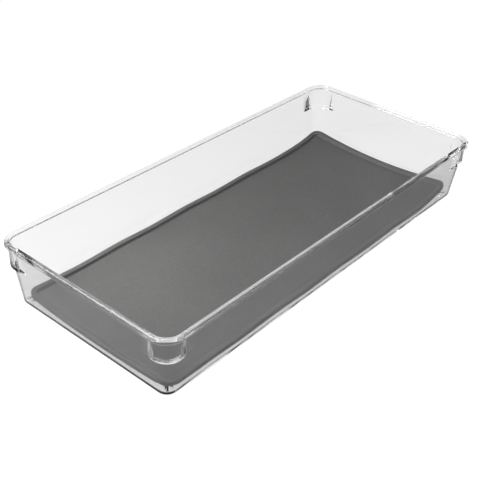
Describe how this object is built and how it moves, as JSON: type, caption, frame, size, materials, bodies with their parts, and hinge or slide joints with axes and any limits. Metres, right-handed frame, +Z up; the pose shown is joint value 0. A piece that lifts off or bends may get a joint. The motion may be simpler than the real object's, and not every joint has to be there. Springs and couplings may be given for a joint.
{
  "type": "drawer organizer insert",
  "caption": "Shallow clear plastic drawer tray with corner stacking posts and a loose soft liner mat that lifts out.",
  "frame": {"origin": "centre of the underside, on the surface the tray stands on", "axes": "+X along the tray, +Y across it, +Z up out of the open top"},
  "size_m": [0.305, 0.137, 0.044],
  "materials": {
    "clear_shell": "clear, colourless, polished moulding",
    "soft_liner": "matte dark grey, faint grain"
  },
  "bodies": {
    "tray": {"tray": "clear_shell"},
    "liner": {"liner": "soft_liner"}
  },
  "joints": [
    {"name": "liner_lift", "type": "slide", "parent": "tray", "child": "liner", "axis": [0, 0, 1], "range_m": [0, 0.06]}
  ]
}
